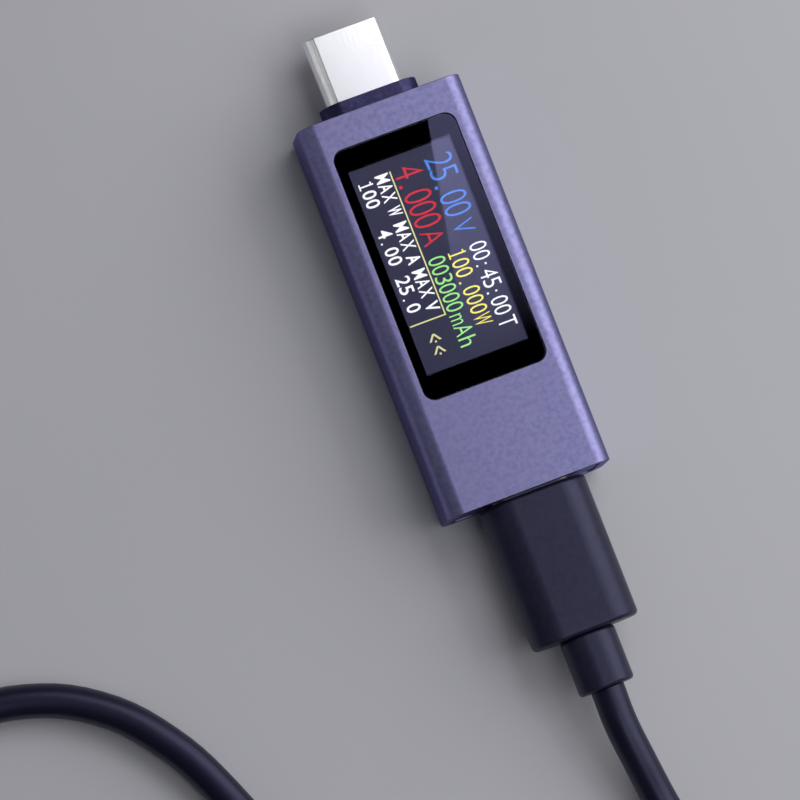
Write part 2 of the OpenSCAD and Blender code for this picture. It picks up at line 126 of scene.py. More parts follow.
TAIL_ROUTE = [
    (-79, -37.3, 5.9), (-86.5, -40.8, 6.8), (-92.2, -46.6, 8.2), (-94.9, -53, 9.1),
    (-95.1, -59.4, 9.4), (-94, -65.2, 9.5), (-90.8, -70.2, 9.8), (-85.8, -73.6, 10.3),
    (-80, -74.6, 10.7),
]
print("lead leaves the strain relief at mm", [round(v / MM, 1) for v in exit_point])

# %% [markdown]
# The rest of the lead is wound up: three turns on the table that step inwards, then three on top
# that step outwards. Typing the points of six turns would be slow and uneven, so a loop works
# them out from the radii and the two heights. Near the end of each turn a soft step moves the
# cord over to the next one. The last turn stops short, where the tail leaves it.

# %% The wound turns
COIL_AT = Vector((-73, -60, 0))
COIL_RADII = (23.44, 19.96, 16.48)
LAYER_Z = (2.25, 5.75)
STEPS = 16
SHIFT_STEPS = 3
LEFT_OUT = 5


def ease(t):
    """Goes from 0 to 1 with a soft start and a soft end."""
    t = min(max(t, 0.0), 1.0)
    return t * t * (3 - 2 * t)


def coil_points():
    """The wound turns: in through the lower layer, up, and out through the upper one."""
    radii = list(COIL_RADII) + list(reversed(COIL_RADII))
    low, high = LAYER_Z
    points = []
    for step in range(STEPS * len(radii) - LEFT_OUT):
        turn_no, place = divmod(step, STEPS)
        blend = ease((place - (STEPS - SHIFT_STEPS)) / SHIFT_STEPS)
        here = radii[turn_no]
        after = radii[min(turn_no + 1, len(radii) - 1)]
        radius = here + (after - here) * blend
        height = low
        if turn_no == len(COIL_RADII) - 1:
            height = low + (high - low) * blend
        elif turn_no >= len(COIL_RADII):
            height = high
        angle = math.pi + 2 * math.pi * step / STEPS
        points.append((COIL_AT.x + radius * math.cos(angle),
                       COIL_AT.y + radius * math.sin(angle), height))
    return points


route = [exit_point] + [Vector(p) * MM for p in LEAD_ROUTE + coil_points() + TAIL_ROUTE]
print("points on the lead", len(route))

# %% [markdown]
# Curves and texts are easy to shape, but a piece of the object has to be a mesh. Blender works a
# curve out into faces when it is shown, and this helper keeps those faces and drops the curve.

# %% From a curve to a mesh
def link(obj):
    """Puts an object in the scene."""
    bpy.context.scene.collection.objects.link(obj)
    return obj


def mesh_of(curve):
    """The mesh that a curve or a text makes. The curve itself is removed."""
    holder = link(bpy.data.objects.new("holder", curve))
    shown = holder.evaluated_get(bpy.context.evaluated_depsgraph_get())
    mesh = bpy.data.meshes.new_from_object(shown)
    bpy.data.objects.remove(holder)
    bpy.data.curves.remove(curve)
    return mesh


print("curve helpers: link, mesh_of")

# %% [markdown]
# A curve through the route becomes a tube when its bevel depth is the cord's radius. It is made
# once with thickness, for the tube, and once without, for the bare line along its middle.

# %% The lead as a tube
CURVE_STEPS = 5
ROUND_STEPS = 7


def route_mesh(name, thickness):
    """The smooth line through the route as a mesh: a bare line, or a tube round it."""
    curve = bpy.data.curves.new(name, "CURVE")
    curve.dimensions = "3D"
    curve.resolution_u = CURVE_STEPS
    curve.bevel_depth = thickness
    curve.bevel_resolution = ROUND_STEPS
    curve.use_fill_caps = thickness > 0
    spline = curve.splines.new("BEZIER")
    spline.bezier_points.add(len(route) - 1)
    for knot, place in zip(spline.bezier_points, route):
        knot.co = place
        knot.handle_left_type = knot.handle_right_type = "AUTO"
    mesh = mesh_of(curve)
    mesh.name = name
    return mesh


centre_line = [v.co.copy() for v in route_mesh("line", 0.0).vertices]
lead_mesh = route_mesh("lead_wire", CORD_R * MM)
lead_mesh.polygons.foreach_set("use_smooth", [True] * len(lead_mesh.polygons))
lead_wire = link(bpy.data.objects.new("lead_wire", lead_mesh))
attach(lead_wire, "lead")
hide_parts("lead_cord", "lead_coil", "lead_tail")

# %% [markdown]
# ## Shader tools
# A finish is a small tree of shader nodes. Trees can be wired by hand in the node editor, but in
# a script each node, value and link would take a line. These helpers add a node, wire it up and
# set its values at once, so that each finish below reads as a short recipe.

# %% Adding nodes
def set_socket(tree, socket, value):
    """Wires another socket in, or sets a plain value."""
    if isinstance(value, bpy.types.NodeSocket):
        tree.links.new(value, socket)
    else:
        socket.default_value = value


def add(tree, kind, values=None, **settings):
    """Adds a node. values maps an input's name to a number, a colour or another socket."""
    node = tree.nodes.new(kind)
    for key, value in settings.items():
        setattr(node, key, value)
    for key, value in (values or {}).items():
        set_socket(tree, node.inputs[key], value)
    return node


def object_place(tree):
    """The place on a piece, in metres, which stays put when the piece moves."""
    return tree.nodes.new("ShaderNodeTexCoord").outputs["Object"]


def noise(tree, scale, shape):
    """A cloud of values around 0.5. shape sets further inputs of the texture."""
    values = {"Vector": object_place(tree), "Scale": scale} | shape
    return add(tree, "ShaderNodeTexNoise", values).outputs["Fac"]


print("node helpers: set_socket, add, object_place, noise")

# %% [markdown]
# Values and colours are mixed all the time, so small functions pick the right node for each job
# and hand back only its result. The Mix node keeps its sockets for numbers, vectors and colours
# under the same names, which is why its colour sockets are found by their place.

# %% Mixing values and colours
MIX_FACTOR, MIX_FIRST, MIX_SECOND, MIX_RESULT = 0, 6, 7, 2


def math_node(tree, operation, first, second, clamp=False):
    """One sum of two values."""
    node = add(tree, "ShaderNodeMath", {0: first, 1: second}, operation=operation)
    node.use_clamp = clamp
    return node.outputs[0]


def between(tree, value, low, high):
    """Stretches a 0 to 1 value to run from low to high."""
    node = add(tree, "ShaderNodeMapRange",
               {"Value": value, "To Min": low, "To Max": high})
    return node.outputs["Result"]


def blend_colour(tree, factor, first, second):
    """The first colour where the factor is 0, the second where it is 1."""
    node = add(tree, "ShaderNodeMix", data_type="RGBA")
    set_socket(tree, node.inputs[MIX_FACTOR], factor)
    set_socket(tree, node.inputs[MIX_FIRST], first)
    set_socket(tree, node.inputs[MIX_SECOND], second)
    return node.outputs[MIX_RESULT]


print("mixing helpers: math_node, between, blend_colour")

# %% [markdown]
# ## Shared surface effects
# The same few effects turn up on several finishes. Each could be wired again in every material,
# but a node group is built once and placed wherever it is needed, with its own values. First
# come the parts that all the groups share: an empty group, a size in millimetres turned into a
# texture scale, and a contrast that pushes values away from the middle.

# %% Parts of an effect group
def new_group(name, inputs, outputs):
    """An empty shader group with inputs of the given values and outputs of plain numbers."""
    tree = bpy.data.node_groups.new(name, "ShaderNodeTree")
    for key, value in inputs.items():
        socket = tree.interface.new_socket(key, in_out="INPUT", socket_type="NodeSocketFloat")
        socket.default_value = value
    for key in outputs:
        tree.interface.new_socket(key, in_out="OUTPUT", socket_type="NodeSocketFloat")
    return tree, tree.nodes.new("NodeGroupInput"), tree.nodes.new("NodeGroupOutput")


def per_metre(tree, size_mm):
    """The texture scale that gives features of a size in millimetres."""
    return math_node(tree, "DIVIDE", 1 / MM, size_mm)


def spread(tree, value, contrast):
    """Pushes a value away from 0.5 and keeps it between 0 and 1."""
    centred = math_node(tree, "SUBTRACT", value, 0.5)
    pushed = math_node(tree, "MULTIPLY", centred, contrast)
    return math_node(tree, "ADD", pushed, 0.5, clamp=True)


print("group helpers: new_group, per_metre, spread")

# %% [markdown]
# *Grain* is the fine speckle of blasted metal or moulded rubber, with a broader speckle beside
# it for surfaces that need both. *Smudge* is the broad cloudiness that handling leaves, which
# mostly changes how dull a surface is.

# %% Grain and smudge
COARSE_SHARE = 0.28


def make_grain():
    tree, given, out = new_group("grain", {"Size mm": 0.1, "Contrast": 1.0},
                                 ("Value", "Coarse"))
    fine_scale = per_metre(tree, given.outputs["Size mm"])
    coarse_scale = math_node(tree, "MULTIPLY", fine_scale, COARSE_SHARE)
    fine = noise(tree, fine_scale, {"Detail": 2.0, "Roughness": 0.6})
    coarse = noise(tree, coarse_scale, {"Detail": 3.0, "Roughness": 0.6})
    for value, name in ((fine, "Value"), (coarse, "Coarse")):
        tree.links.new(spread(tree, value, given.outputs["Contrast"]), out.inputs[name])
    return tree


def make_smudge():
    tree, given, out = new_group("smudge", {"Size mm": 8.0, "Sharpness": 2.0}, ("Mask",))
    cloud = noise(tree, per_metre(tree, given.outputs["Size mm"]),
                  {"Detail": 4.0, "Roughness": 0.55, "Distortion": 0.6})
    tree.links.new(spread(tree, cloud, given.outputs["Sharpness"]), out.inputs["Mask"])
    return tree


EFFECTS = {"grain": make_grain(), "smudge": make_smudge()}
print("effect groups", list(EFFECTS))

# %% [markdown]
# *Rim* finds the rounded edges. Finishes use it where handling polishes a surface smooth, and to
# change the colour of those edges, partly for wear and partly as painted light: a painted
# highlight where the edge colour is paler, painted shade where it is darker. Shaders can guess
# edges from how the surface bends, but the softening below knows exactly which faces it made. It
# marks them with a colour attribute, and this group reads the mark and breaks it up with a little
# noise, so that the edge mark isn't an even line.

# %% Rim
def make_rim():
    tree, given, out = new_group("rim", {"Breakup mm": 0.4}, ("Mask",))
    mark = tree.nodes.new("ShaderNodeAttribute")
    mark.attribute_name = "rim"
    patchy = noise(tree, per_metre(tree, given.outputs["Breakup mm"]), {"Detail": 3.0})
    edge_share = add(tree, "ShaderNodeMapRange", {"Value": patchy, "From Min": 0.3, "From Max": 0.6,
                                            "To Min": 0.35, "To Max": 1.0})
    tree.links.new(math_node(tree, "MULTIPLY", mark.outputs["Fac"], edge_share.outputs["Result"]),
                   out.inputs["Mask"])
    return tree


def effect(tree, name, values):
    """Places one of the groups in a material and sets its inputs by name."""
    node = add(tree, "ShaderNodeGroup", node_tree=EFFECTS[name])
    for key, value in values.items():
        node.inputs[key].default_value = value
    return node.outputs


EFFECTS["rim"] = make_rim()
print("effect groups", list(EFFECTS))

# %% [markdown]
# ## Finishes
# Every finish starts from Blender's Principled shader, which covers metal, plastic, rubber and
# glass. Real relief this fine would need millions of faces, so the small texture of a surface is
# left to a bump, which only tilts the light.

# %% A material to start from
def new_material(name):
    """A material with its tree and its Principled shader."""
    material = bpy.data.materials.new(name)
    material.use_nodes = True
    tree = material.node_tree
    return material, tree, tree.nodes["Principled BSDF"]


def bump(tree, shader, height, strength, depth_mm):
    """Tilts the light by a height map that is depth_mm deep."""
    node = add(tree, "ShaderNodeBump", {"Height": height, "Strength": strength,
                                        "Distance": depth_mm * MM})
    tree.links.new(node.outputs["Normal"], shader.inputs["Normal"])


def told(*materials):
    print("finishes:", ", ".join(material.name for material in materials))


told(*bpy.data.materials)

# %% [markdown]
# The case is aluminium that was blasted with fine beads and then dyed purple-grey in the
# anodising bath. Paint would be simpler, but it has no sheen of its own. A nearly pure metal with
# a broad, soft shine and a fine speckle looks right, under a thin clear coat for the sealed
# oxide. Bare metal turns white at a glancing angle, which the specular tint holds back. The
# rounded edges take a paler colour, which is partly wear through the dye and partly a painted
# highlight for the bright line that those edges catch. The end cap round the plug is the same
# finish with painted shade: its colours are much darker and its edges nearly black, to stand for
# the shade it sits in beside the case's end.

# %% Anodised aluminium
# Share of the edge colour on rounded edges: wear plus a painted highlight on the case, painted shade
# on the plug's end cap.
EDGE_WEAR_AND_PAINTED_LIGHT = 0.6
EDGE_POLISH = 0.08
CLOUDINESS = 0.04
GLANCING = (0.3, 0.29, 0.5, 1)


def anodised(name, dark, light, edge, rough):
    material, tree, shader = new_material(name)
    shader.inputs["Metallic"].default_value = 0.95
    shader.inputs["Specular Tint"].default_value = GLANCING
    shader.inputs["Coat Weight"].default_value = 0.2
    shader.inputs["Coat Roughness"].default_value = 0.3
    grain = effect(tree, "grain", {"Size mm": 0.05, "Contrast": 2.2})
    smudge = effect(tree, "smudge", {"Size mm": 9.0, "Sharpness": 1.6})
    rim = effect(tree, "rim", {"Breakup mm": 0.5})
    dyed = blend_colour(tree, grain["Value"], dark, light)
    # Rounded edges take the edge colour: paler on the case, part wear and part painted highlight;
    # near black on the end cap, which is painted shade.
    edge_share = math_node(tree, "MULTIPLY", rim["Mask"], EDGE_WEAR_AND_PAINTED_LIGHT)
    tree.links.new(blend_colour(tree, edge_share, dyed, edge), shader.inputs["Base Color"])
    dull = between(tree, smudge["Mask"], rough, rough + CLOUDINESS)
    polish = math_node(tree, "MULTIPLY", rim["Mask"], EDGE_POLISH)
    tree.links.new(math_node(tree, "SUBTRACT", dull, polish), shader.inputs["Roughness"])
    bump(tree, shader, grain["Value"], strength=0.3, depth_mm=0.01)
    return material


# Paler edge colour: part wear, part painted highlight.
CASE = anodised("anodised_case", dark=(0.145, 0.138, 0.315, 1), light=(0.2, 0.191, 0.415, 1),
                edge=(0.31, 0.3, 0.53, 1), rough=0.43)
# Painted shade: darker colours and near black edges for the end cap in the case's shade.
COLLAR = anodised("anodised_painted_shade", dark=(0.055, 0.05, 0.145, 1),
                  light=(0.085, 0.077, 0.21, 1), edge=(0.006, 0.005, 0.02, 1), rough=0.4)
told(CASE, COLLAR)

# %% [markdown]
# The plug shells are drawn steel with a bright nickel plate. Plate is never quite flat, so the
# reflection is a little cloudy, and drawing leaves faint lines along the shell. Lines can come
# from an image, but a noise that is squeezed across the shell and left long along it needs none.
# Springs and contacts take the same recipe in other colours.

# %% Plated steel and gold
SQUEEZE = (9000, 350, 9000)
PLATE_CLOUD = 0.06


def plated(name, dark, light, rough, lines):
    material, tree, shader = new_material(name)
    shader.inputs["Metallic"].default_value = 1.0
    squeezed = add(tree, "ShaderNodeMapping", {"Vector": object_place(tree), "Scale": SQUEEZE})
    drawn = add(tree, "ShaderNodeTexNoise", {"Vector": squeezed.outputs["Vector"],
                                             "Scale": 1.0, "Detail": 3.0}).outputs["Fac"]
    smudge = effect(tree, "smudge", {"Size mm": 4.0, "Sharpness": 2.0})
    tree.links.new(blend_colour(tree, smudge["Mask"], dark, light),
                   shader.inputs["Base Color"])
    dull = between(tree, drawn, rough, rough + lines)
    cloudy = math_node(tree, "MULTIPLY", smudge["Mask"], PLATE_CLOUD)
    tree.links.new(math_node(tree, "ADD", dull, cloudy), shader.inputs["Roughness"])
    bump(tree, shader, drawn, strength=0.06, depth_mm=0.005)
    return material


STEEL = plated("connector_steel", dark=(0.86, 0.86, 0.88, 1), light=(0.93, 0.93, 0.94, 1),
               rough=0.16, lines=0.1)
# Painted shade: the same plate in darker colours, for steel that sits where little light reaches.
STEEL_PAINTED_SHADE = plated("steel_with_painted_shade", dark=(0.36, 0.36, 0.39, 1), light=(0.46, 0.46, 0.49, 1),
                rough=0.3, lines=0.14)
SPRING = plated("spring_steel", dark=(0.62, 0.62, 0.64, 1), light=(0.74, 0.74, 0.75, 1),
                rough=0.24, lines=0.14)
GOLD = plated("gold_contacts", dark=(0.78, 0.58, 0.22, 1), light=(0.92, 0.72, 0.34, 1),
              rough=0.2, lines=0.1)
told(STEEL, STEEL_PAINTED_SHADE, SPRING, GOLD)

# %% [markdown]
# Rubber and moulded plastic come out of a steel mould, whose skin leaves a fine grain. Both share
# one recipe with different numbers: a body colour that the grain varies, a relief of fine and
# coarse grain, and edges that are a little paler, partly where hands rub them and partly as a
# painted highlight for the thin light that edges catch. A separate material for each would say
# the same thing many times.

# %% Recipe for moulded surfaces
# Share of the paler edge colour: partly from rubbing, partly a painted highlight.
EDGE_RUB_AND_HIGHLIGHT = 0.45
PALER = 1.5
PALE_LIFT = 0.012
DULLER, SHINIER = 0.06, 0.05
FINE_RELIEF, COARSE_RELIEF = 0.6, 0.4


def moulded(name, dark, light, rough, grain_mm, depth_mm, gloss=0.5, tint=(1, 1, 1, 1)):
    material, tree, shader = new_material(name)
    shader.inputs["Specular IOR Level"].default_value = gloss
    shader.inputs["Specular Tint"].default_value = tint
    grain = effect(tree, "grain", {"Size mm": grain_mm, "Contrast": 1.6})
    smudge = effect(tree, "smudge", {"Size mm": 6.0, "Sharpness": 1.8})
    rim = effect(tree, "rim", {"Breakup mm": 0.6})
    body = blend_colour(tree, grain["Value"], dark, light)
    pale = tuple(min(1.0, c * PALER + PALE_LIFT) for c in light[:3]) + (1.0,)
    # Paler edges: partly from rubbing by hands, partly a painted highlight.
    rub_and_highlight = math_node(tree, "MULTIPLY", rim["Mask"], EDGE_RUB_AND_HIGHLIGHT)
    tree.links.new(blend_colour(tree, rub_and_highlight, body, pale), shader.inputs["Base Color"])
    tree.links.new(between(tree, smudge["Mask"], rough - SHINIER, rough + DULLER),
                   shader.inputs["Roughness"])
    fine = math_node(tree, "MULTIPLY", grain["Value"], FINE_RELIEF)
    coarse = math_node(tree, "MULTIPLY", grain["Coarse"], COARSE_RELIEF)
    bump(tree, shader, math_node(tree, "ADD", fine, coarse), 0.3, depth_mm)
    return material


RUBBER = moulded("lead_rubber", dark=(0.0045, 0.0047, 0.0145, 1),
                 light=(0.0085, 0.0086, 0.025, 1), rough=0.38, grain_mm=0.14, depth_mm=0.02,
                 gloss=0.6, tint=(0.62, 0.62, 1.0, 1))
told(RUBBER)

# %% [markdown]
# Under the glass lie the black ink of its border and the dark face of the display. Deeper in the
# case are frames, trays, chips, foam tape, ceramic parts and a film cable, which only show when
# the model is opened. Each gets its own colour, dullness and grain from the same recipe.

# %% Finishes behind the glass and inside
BLACK = moulded("black_plastic", (0.006, 0.006, 0.008, 1), (0.013, 0.013, 0.016, 1),
                rough=0.42, grain_mm=0.12, depth_mm=0.015)
CHIP = moulded("chip_package", (0.012, 0.012, 0.013, 1), (0.03, 0.03, 0.031, 1),
               rough=0.55, grain_mm=0.06, depth_mm=0.01)
FOAM = moulded("foam_tape", (0.006, 0.006, 0.006, 1), (0.02, 0.02, 0.02, 1),
               rough=0.9, grain_mm=0.2, depth_mm=0.03)
WHITE = moulded("white_plastic", (0.66, 0.66, 0.65, 1), (0.74, 0.74, 0.73, 1),
                rough=0.4, grain_mm=0.15, depth_mm=0.01)
IVORY = moulded("ivory_plastic", (0.6, 0.56, 0.45, 1), (0.7, 0.66, 0.55, 1),
                rough=0.4, grain_mm=0.12, depth_mm=0.01)
CERAMIC = moulded("ceramic", (0.26, 0.16, 0.085, 1), (0.42, 0.29, 0.17, 1),
                  rough=0.6, grain_mm=0.07, depth_mm=0.01)
FILM = moulded("flex_film", (0.34, 0.13, 0.018, 1), (0.52, 0.24, 0.05, 1),
               rough=0.3, grain_mm=0.3, depth_mm=0.005)
INK = moulded("black_ink", (0.0012, 0.0012, 0.0018, 1), (0.0022, 0.0022, 0.003, 1),
              rough=0.3, grain_mm=0.3, depth_mm=0.002)
PANEL = moulded("panel_glass", (0.003, 0.003, 0.004, 1), (0.006, 0.006, 0.008, 1),
                rough=0.2, grain_mm=0.3, depth_mm=0.002)
told(BLACK, CHIP, FOAM, WHITE, IVORY, CERAMIC, FILM, INK, PANEL)

# %% [markdown]
# The board is glass cloth under green lacquer. Real tracks could be drawn one by one, but the
# board is out of sight. A brick pattern stands in for the copper that shows through as paler
# lines, and lifts the lacquer a little where it runs.

# %% Circuit board
def circuit_board(name):
    material, tree, shader = new_material(name)
    tracks = add(tree, "ShaderNodeTexBrick", {"Vector": object_place(tree), "Scale": 900.0,
                                              "Mortar Size": 0.09, "Mortar Smooth": 0.1,
                                              "Color1": (0.008, 0.06, 0.03, 1),
                                              "Color2": (0.012, 0.08, 0.04, 1),
                                              "Mortar": (0.03, 0.16, 0.07, 1)})
    tree.links.new(tracks.outputs["Color"], shader.inputs["Base Color"])
    smudge = effect(tree, "smudge", {"Size mm": 3.0, "Sharpness": 2.0})
    tree.links.new(between(tree, smudge["Mask"], 0.22, 0.38), shader.inputs["Roughness"])
    bump(tree, shader, tracks.outputs["Fac"], strength=0.3, depth_mm=0.02)
    return material


BOARD = circuit_board("circuit_board")
told(BOARD)

# %% [markdown]
# The strap round the coil is woven tape. Threads could be modelled, but at this size two wave
# textures that cross make the over and under of the weave. Where both waves are high a thread
# lies on top, so their product gives the relief and also a painted shade: the colour is darker
# where a thread dips under. A little sheen is the fuzz.

# %% Woven strap
WAVE_FIT = 6.3


def woven(name, dark, light, thread_mm):
    """A wave of this scale is two threads long: one over and one under."""
    material, tree, shader = new_material(name)
    place = object_place(tree)
    scale = 1 / MM / thread_mm / WAVE_FIT
    warp, weft = (add(tree, "ShaderNodeTexWave",
                      {"Vector": place, "Scale": scale, "Distortion": 0.3},
                      bands_direction=direction).outputs["Fac"] for direction in "XY")
    lift = math_node(tree, "MULTIPLY", warp, weft)
    fuzz = effect(tree, "grain", {"Size mm": 0.08, "Contrast": 1.5})
    # Painted shade: darker where a thread dips under, times the fuzz grain.
    shade = math_node(tree, "MULTIPLY", lift, fuzz["Value"])
    tree.links.new(blend_colour(tree, shade, dark, light), shader.inputs["Base Color"])
    tree.links.new(between(tree, fuzz["Coarse"], 0.75, 0.95), shader.inputs["Roughness"])
    shader.inputs["Sheen Weight"].default_value = 0.3
    bump(tree, shader, lift, strength=0.7, depth_mm=0.08)
    return material


STRAP = woven("strap", dark=(0.006, 0.006, 0.007, 1), light=(0.05, 0.05, 0.055, 1),
              thread_mm=0.45)
told(STRAP)

# %% [markdown]
# The cover glass is clear, and everything under it is dark. A dark glossy plastic would look much
# the same from afar, but the display lies under the glass, so it has to be real glass that lets
# light through and still mirrors the room. A faint smear from fingers varies its polish.

# %% Glass
def cover(name):
    material, tree, shader = new_material(name)
    shader.inputs["Base Color"].default_value = (0.97, 0.975, 0.98, 1)
    shader.inputs["Transmission Weight"].default_value = 1.0
    shader.inputs["IOR"].default_value = 1.5
    smear = effect(tree, "smudge", {"Size mm": 5.0, "Sharpness": 2.5})
    tree.links.new(between(tree, smear["Mask"], 0.003, 0.012), shader.inputs["Roughness"])
    return material


GLASS = cover("cover_glass")
told(GLASS)

# %% [markdown]
# The display glows. Its dark ground is a faint blue-grey, because the lamp behind it leaks
# through, and a reading is the same finish in a strong colour. An image of a screen would be
# quick, but it blurs up close. Emission on small meshes stays sharp, and a regular cell texture
# with no randomness darkens the gaps between the panel's dots.

# %% Glowing finishes
LIT_LENGTH = 21.8
DOTS_ALONG = 160
DOTS_ACROSS = 80
DOT = LIT_LENGTH / DOTS_ALONG


def glowing(name, colour, strength, gap):
    """gap is how much darker it is between two dots."""
    material, tree, shader = new_material(name)
    shader.inputs["Base Color"].default_value = (0.004, 0.004, 0.005, 1)
    shader.inputs["Roughness"].default_value = 0.35
    shader.inputs["Emission Strength"].default_value = strength
    dots = add(tree, "ShaderNodeTexVoronoi", {"Vector": object_place(tree),
                                              "Scale": 1 / MM / DOT, "Randomness": 0.0})
    haze = effect(tree, "smudge", {"Size mm": 12.0, "Sharpness": 1.5})
    faint = tuple(c * (1 - gap) for c in colour[:3]) + (1.0,)
    speckled = blend_colour(tree, dots.outputs["Distance"], colour, faint)
    cloudy = blend_colour(tree, haze["Mask"], speckled, colour)
    tree.links.new(cloudy, shader.inputs["Emission Color"])
    return material


GROUND = glowing("display_ground", (0.023, 0.023, 0.063, 1), strength=1.0, gap=0.25)
BLUE = glowing("reading_blue", (0.07, 0.24, 0.82, 1), strength=1.1, gap=0.35)
RED = glowing("reading_red", (0.68, 0.022, 0.048, 1), strength=1.1, gap=0.35)
PURE = glowing("reading_white", (0.9, 0.9, 0.95, 1), strength=1.3, gap=0.2)
YELLOW = glowing("reading_yellow", (0.93, 0.84, 0.14, 1), strength=1.25, gap=0.3)
GREEN = glowing("reading_green", (0.36, 0.86, 0.27, 1), strength=1.15, gap=0.3)
LEMON = glowing("reading_lemon", (0.85, 0.82, 0.4, 1), strength=1.0, gap=0.2)
told(GROUND, BLUE, RED, PURE, YELLOW, GREEN, LEMON)

# %% [markdown]
# ## Soft edges
# A machined edge is never a knife edge, and the thin light it catches is what makes metal look
# solid. Each outer piece starts from the frame's own mesh, so its size stays true. That mesh is
# loose triangles, which a bevel can't work on, so the triangles are merged and the flat areas are
# joined first. The faces that the bevel makes are marked for the *rim* effect.

# %% Merging and softening
MERGE_MM = 0.0005
FLAT_DEG = 0.4
SHARP_DEG = 40.0
RIM_MARK = (1.0, 1.0, 1.0, 1.0)


def merged_copy(node):
    """A copy of a frame mesh with its triangles merged and its flat areas joined."""
    bm = bmesh.new()
    bm.from_mesh(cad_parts[node].data)
    bmesh.ops.remove_doubles(bm, verts=bm.verts, dist=MERGE_MM * MM)
    bmesh.ops.dissolve_limit(bm, angle_limit=math.radians(FLAT_DEG), verts=bm.verts,
                             edges=bm.edges)
    return bm


def soften(bm, radius_mm, segments):
    """Bevels the sharp edges and marks the new faces as rim."""
    sharp = [e for e in bm.edges if len(e.link_faces) == 2
             and e.calc_face_angle(0.0) > math.radians(SHARP_DEG)]
    made = bmesh.ops.bevel(bm, geom=sharp, offset=radius_mm * MM, offset_type="OFFSET",
                           affect="EDGES", segments=segments, profile=0.5, material=-1,
                           clamp_overlap=True)
    rim = bm.loops.layers.float_color.get("rim") or bm.loops.layers.float_color.new("rim")
    for face in made["faces"]:
        for loop in face.loops:
            loop[rim] = RIM_MARK
    return len(sharp)


print("edges past", SHARP_DEG, "degrees get a bevel")

# %% [markdown]
# A finished piece is shaded smooth, apart from edges that are still steep. It rides on one of the
# frame's bodies, so that it moves with it, and a soft copy also takes the place of the frame's
# own piece. The weighted normals keep large flat areas looking flat next to their bevels.

# %% Finishing a piece
SMOOTH_DEG = 38.0


def finish_piece(bm, name, body, material):
    """Turns a bmesh into a smooth-shaded piece that rides on a body."""
    mesh = bpy.data.meshes.new(name)
    bm.to_mesh(mesh)
    bm.free()
    mesh.materials.append(material)
    mesh.polygons.foreach_set("use_smooth", [True] * len(mesh.polygons))
    mesh.set_sharp_from_angle(angle=math.radians(SMOOTH_DEG))
    piece = link(bpy.data.objects.new(name, mesh))
    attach(piece, body)
    return piece


def soft_copy(node, name, body, material, radius_mm, segments=3):
    """A soft-edged stand-in for one of the frame's pieces."""
    bm = merged_copy(node)
    edges = soften(bm, radius_mm, segments)
    piece = finish_piece(bm, name, body, material)
    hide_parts(node)
    steady = piece.modifiers.new("steady_normals", "WEIGHTED_NORMAL")
    steady.keep_sharp = True
    print(f"{name}: {edges} edges softened by {radius_mm} mm")
    return piece


print("faces that meet at over", SMOOTH_DEG, "degrees keep a crisp line")

# %% [markdown]
# The case is an extruded sleeve with a cap pressed into each end, a key in its side and a glass
# in its front. Cut and dyed aluminium has a rounding of a tenth of a millimetre or so. The cap at
# the plug carries a raised collar with a rounder edge, and the glass is ground almost sharp.

# %% The case
soft_copy("sleeve", "case_sleeve", "meter", CASE, radius_mm=0.14)
soft_copy("plug_end_cap", "plug_cap", "meter", COLLAR, radius_mm=0.3,
          segments=4)
soft_copy("socket_end_cap", "socket_cap", "meter", CASE, radius_mm=0.1)
soft_copy("button_cap", "side_key", "key", CASE, radius_mm=0.12)
soft_copy("cover_glass", "window_glass", "meter", GLASS, radius_mm=0.03)

# %% [markdown]
# The connectors are folded steel shells with smooth, drawn rims. The near plug sits in the
# meter's socket, where little light reaches, so those two shells take a darker, rougher steel
# with the shade painted into its colour: bright ones would glint through the thin gap round
# the plug.

# %% The connectors
soft_copy("plug_shell", "meter_plug_shell", "meter", STEEL, radius_mm=0.12)
soft_copy("lead_plug_shell", "near_plug_shell", "lead", STEEL_PAINTED_SHADE,
          radius_mm=0.12)
far_shell = soft_copy("far_plug_shell", "end_plug_shell", "lead", STEEL,
                      radius_mm=0.12)
soft_copy("socket_shell", "meter_socket_shell", "meter", STEEL_PAINTED_SHADE,
          radius_mm=0.06)

# %% [markdown]
# Grips and strain reliefs are moulded in soft rubber, whose edges are much rounder than metal
# ones. More steps in the bevel keep so wide a rounding smooth. The strap is cut tape, so its
# edges are only broken a little.

# %% The rubber on the lead
soft_copy("lead_grip", "near_grip", "lead", RUBBER, radius_mm=0.5, segments=5)
soft_copy("lead_strain_relief", "near_relief", "lead", RUBBER, radius_mm=0.4,
          segments=5)
far_grip = soft_copy("far_grip", "end_grip", "lead", RUBBER, radius_mm=0.5,
                     segments=5)
far_relief = soft_copy("far_strain_relief", "end_relief", "lead", RUBBER,
                       radius_mm=0.4, segments=5)
coil_tie = soft_copy("coil_tie", "coil_strap", "lead", STRAP, radius_mm=0.15)

# %% [markdown]
# ## The lit display
# The panel under the glass shows its readings along the meter: two large ones, three small ones,
# three stored values and two arrow marks. They are plain figures and units. An image texture
# would need unwrapping and would blur, so each colour is a thin mesh that lies on the panel. The
# panel has a grid of dots, and places and sizes below are given in dots: *along* runs from the
# plug towards the socket, and *across* runs from +X to -X.

# %% Display ground
LIT_AHEAD = 0.6
GROUND_T = 0.02
SIGN_T = 0.02
panel_low, panel_high = (Vector(corner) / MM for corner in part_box("lcd_panel"))
grid_start_x = DOTS_ACROSS * DOT / 2
grid_start_y = (panel_low.y + panel_high.y) / 2 + LIT_AHEAD + DOTS_ALONG * DOT / 2
ground_z = panel_high.z
sign_z = ground_z + GROUND_T


